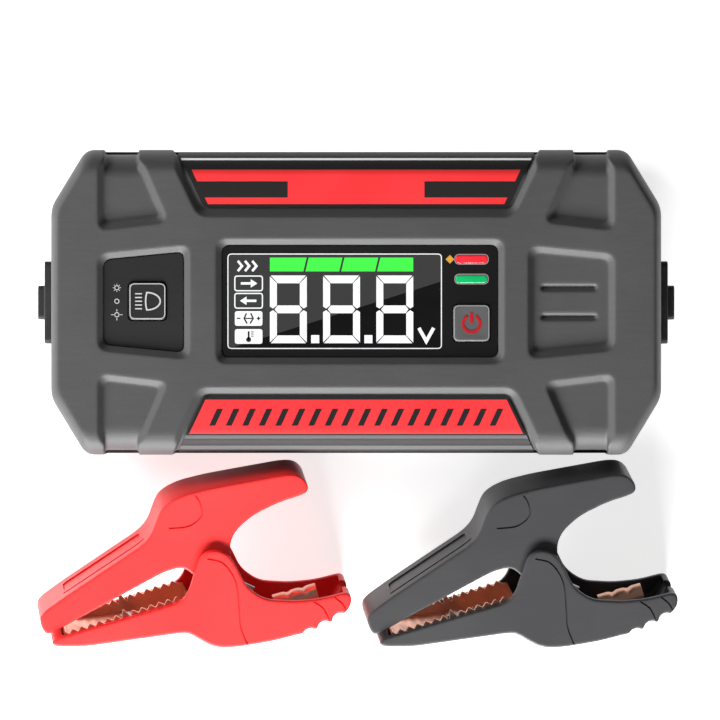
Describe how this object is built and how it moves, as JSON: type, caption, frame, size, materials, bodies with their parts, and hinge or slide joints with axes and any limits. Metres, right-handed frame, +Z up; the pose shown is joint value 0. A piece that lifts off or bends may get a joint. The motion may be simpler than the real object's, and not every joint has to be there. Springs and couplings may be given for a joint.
{
  "type": "jump starter pack",
  "caption": "Flat cut-corner battery pack with a display window, push keys, rubber end covers and a separate red and black toothed battery clamp.",
  "frame": {"origin": "centre of the underside of the pack's case, where it rests on the table", "axes": "+X along the case, +Y across it away from the clamps, +Z up out of the face"},
  "size_m": [0.2161, 0.1669, 0.042],
  "materials": {
    "case_plastic": "fine moulded grain",
    "band_plastic": "satin",
    "smoked_window": "gloss",
    "display": "printed",
    "board": "lacquered",
    "panel_black": "satin",
    "key_grey": "satin",
    "red_light": "translucent",
    "green_light": "translucent",
    "label_black": "printed",
    "label_red": "printed",
    "cover_rubber": "matte",
    "cell_foil": "satin",
    "tray_plastic": "satin",
    "pad_foam": "matte",
    "socket_blue": "satin",
    "contact_gold": "plated",
    "port_steel": "satin",
    "clear_lens": "gloss",
    "screw_steel": "satin",
    "red_plastic": "satin",
    "black_plastic": "satin",
    "jaw_copper": "copper plated",
    "spring_steel": "satin"
  },
  "bodies": {
    "pack": {"top_case": "case_plastic", "bottom_case": "case_plastic", "centre_band": "band_plastic", "display_window": "smoked_window", "display_panel": "display", "control_board": "board", "power_board": "board", "light_panel": "panel_black", "fault_light_pipe": "red_light", "ready_light_pipe": "green_light", "rear_label_plate": "label_black", "front_label_plate": "label_red", "battery_cells": "cell_foil", "cell_tray": "tray_plastic", "cell_pads": "pad_foam", "output_socket": "socket_blue", "output_contacts": "contact_gold", "usb_bezel": "panel_black", "usb_board": "board", "usb_a_socket": "port_steel", "usb_c_socket": "port_steel", "lamp_lens": "clear_lens", "lamp_board": "board", "button_switches": "port_steel", "case_screws": "screw_steel", "board_screws": "screw_steel"},
    "light_key": {"light_button": "key_grey"},
    "power_key": {"power_button": "key_grey"},
    "left_cover": {"left_end_cover": "cover_rubber"},
    "right_cover": {"right_end_cover": "cover_rubber"},
    "red_clamp": {"red_lower_arm": "red_plastic", "red_lower_jaw": "jaw_copper", "red_lower_screw": "screw_steel", "red_pivot_pin": "screw_steel", "red_spring": "spring_steel", "red_cable_lug": "jaw_copper"},
    "red_upper_side": {"red_upper_arm": "red_plastic", "red_upper_jaw": "jaw_copper", "red_upper_screw": "screw_steel"},
    "black_clamp": {"black_lower_arm": "black_plastic", "black_lower_jaw": "jaw_copper", "black_lower_screw": "screw_steel", "black_pivot_pin": "screw_steel", "black_spring": "spring_steel", "black_cable_lug": "jaw_copper"},
    "black_upper_side": {"black_upper_arm": "black_plastic", "black_upper_jaw": "jaw_copper", "black_upper_screw": "screw_steel"}
  },
  "joints": [
    {"name": "light_key_press", "type": "slide", "parent": "pack", "child": "light_key", "axis": [0, 0, -1], "range_m": [0, 0.0008], "stiffness_N_per_m": 800},
    {"name": "power_key_press", "type": "slide", "parent": "pack", "child": "power_key", "axis": [0, 0, -1], "range_m": [0, 0.0008], "stiffness_N_per_m": 800},
    {"name": "left_cover_hinge", "type": "hinge", "parent": "pack", "child": "left_cover", "pos_m": [-0.10207, 0, 0.011], "axis": [0, -1, 0], "range_deg": [0, 85], "stiffness_Nm_per_rad": 0.004, "springref_deg": -11.46},
    {"name": "right_cover_hinge", "type": "hinge", "parent": "pack", "child": "right_cover", "pos_m": [0.10207, 0, 0.011], "axis": [0, 1, 0], "range_deg": [0, 85], "stiffness_Nm_per_rad": 0.004, "springref_deg": -11.46},
    {"name": "red_clamp_lift", "type": "slide", "parent": "pack", "child": "red_clamp", "axis": [0, 0, 1], "range_m": [0, 0.15]},
    {"name": "red_clamp_open", "type": "hinge", "parent": "red_clamp", "child": "red_upper_side", "pos_m": [-0.04879, -0.0874, 0.02079], "axis": [-0.097, 0.24, -0.9659], "range_deg": [0, 30], "stiffness_Nm_per_rad": 0.5, "springref_deg": -34.38},
    {"name": "black_clamp_lift", "type": "slide", "parent": "pack", "child": "black_clamp", "axis": [0, 0, 1], "range_m": [0, 0.15]},
    {"name": "black_clamp_open", "type": "hinge", "parent": "black_clamp", "child": "black_upper_side", "pos_m": [0.06079, -0.0874, 0.02079], "axis": [-0.097, 0.24, -0.9659], "range_deg": [0, 30], "stiffness_Nm_per_rad": 0.5, "springref_deg": -34.38}
  ]
}
